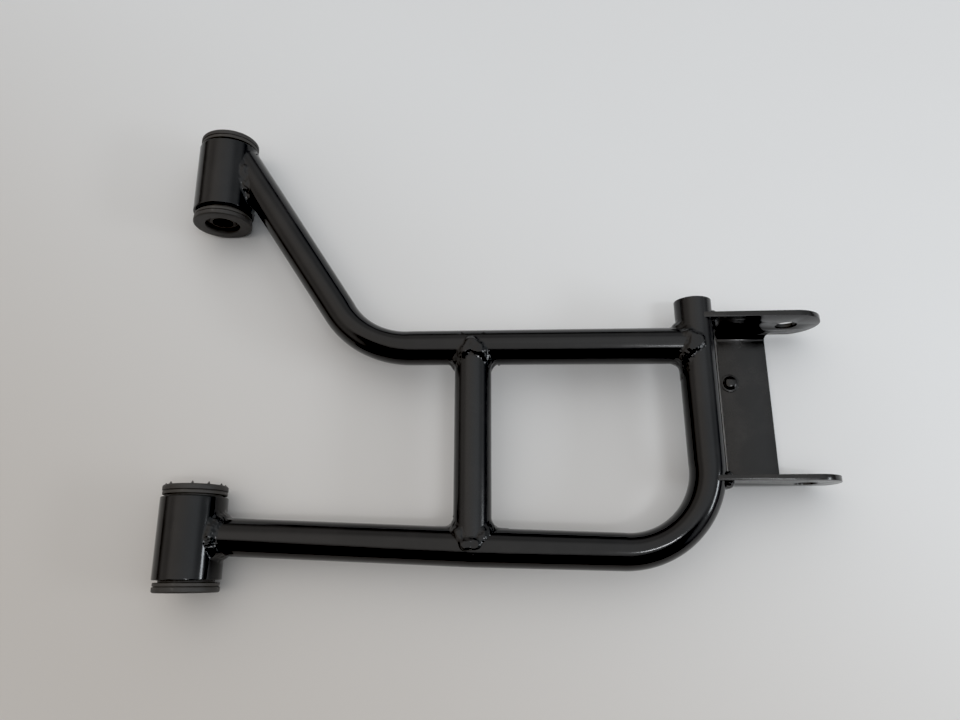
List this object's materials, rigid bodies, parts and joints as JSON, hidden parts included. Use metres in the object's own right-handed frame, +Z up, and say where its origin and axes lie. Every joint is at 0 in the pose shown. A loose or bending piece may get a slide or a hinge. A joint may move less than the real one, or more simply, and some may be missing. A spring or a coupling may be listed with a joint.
{
  "type": "control arm",
  "caption": "Welded tube suspension arm with two bushed pivot housings, a cross tube and a folded plate bracket with bolt ears for the wheel knuckle.",
  "frame": {"origin": "centre of the bounding box in X and Y, on the plane the arm lies on", "axes": "+X from the pivot axis towards the knuckle bracket, +Y along the pivot axis from the front housing to the rear one, +Z up from the plane the arm lies on"},
  "size_m": [0.402, 0.2972, 0.0417],
  "materials": {
    "frame_paint": "gloss black paint with slight orange peel",
    "weld_paint": "gloss black paint over rippled weld",
    "bush_plastic": "matte moulded plastic, dark grey",
    "cap_plastic": "matte moulded plastic, dark grey",
    "sleeve_steel": "turned steel, dull"
  },
  "bodies": {
    "arm": {"lower_tube": "frame_paint", "upper_tube": "frame_paint", "cross_tube": "frame_paint", "front_pivot_housing": "frame_paint", "front_outer_bush": "bush_plastic", "front_inner_bush": "bush_plastic", "front_outer_cap": "cap_plastic", "front_inner_cap": "cap_plastic", "rear_pivot_housing": "frame_paint", "rear_outer_bush": "bush_plastic", "rear_inner_bush": "bush_plastic", "rear_outer_cap": "cap_plastic", "rear_inner_cap": "cap_plastic", "knuckle_bracket": "frame_paint", "web_stud": "frame_paint", "front_housing_weld": "weld_paint", "rear_housing_weld": "weld_paint", "cross_lower_weld": "weld_paint", "cross_upper_weld": "weld_paint", "upper_tube_weld": "weld_paint", "lower_ear_outer_weld": "weld_paint", "lower_ear_inner_weld": "weld_paint", "upper_ear_inner_weld": "weld_paint", "upper_ear_outer_weld": "weld_paint"},
    "front_sleeve": {"front_pivot_sleeve": "sleeve_steel"},
    "rear_sleeve": {"rear_pivot_sleeve": "sleeve_steel"}
  },
  "joints": [
    {"name": "front_sleeve_turn", "type": "hinge", "parent": "arm", "child": "front_sleeve", "pos_m": [-0.18147, -0.1178, 0.0195], "axis": [0, 1, 0], "continuous": true},
    {"name": "rear_sleeve_turn", "type": "hinge", "parent": "arm", "child": "rear_sleeve", "pos_m": [-0.18147, 0.1178, 0.0195], "axis": [0, 1, 0], "continuous": true}
  ]
}
